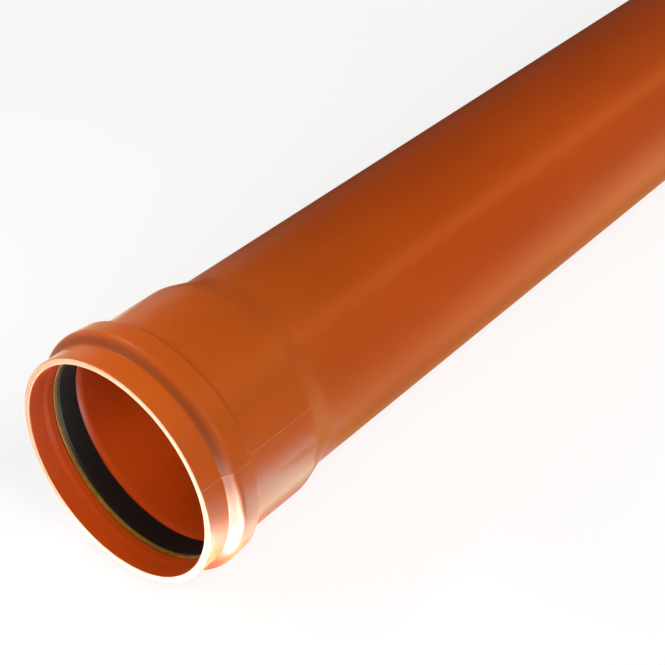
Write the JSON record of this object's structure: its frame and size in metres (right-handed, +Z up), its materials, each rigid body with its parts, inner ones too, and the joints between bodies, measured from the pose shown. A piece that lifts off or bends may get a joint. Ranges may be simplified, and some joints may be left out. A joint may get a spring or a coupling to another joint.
{
  "type": "underground drain pipe",
  "caption": "Straight orange-brown plastic underground drain pipe with a beaded ring-seal socket on one end and a plain chamfered end to push into the next pipe.",
  "frame": {"origin": "on the floor, under the middle of the whole pipe's box as it lies", "axes": "+Z up, +X along the pipe from the socket's mouth to the plain end, +Y to the left of that way; the pipe's axis dips 0.5 degrees towards +X, because it rests on the bead's crest and the plain end"},
  "size_m": [1.074, 0.1278, 0.1281],
  "materials": {
    "pvc": "satin extruded PVC-U, orange-brown",
    "seal_rubber": "smooth black, lubricated sheen",
    "retainer_plastic": "olive-yellow moulded plastic"
  },
  "bodies": {
    "root": {"pipe": "pvc", "sealing_ring": "seal_rubber", "retaining_ring": "retainer_plastic"}
  },
  "joints": []
}
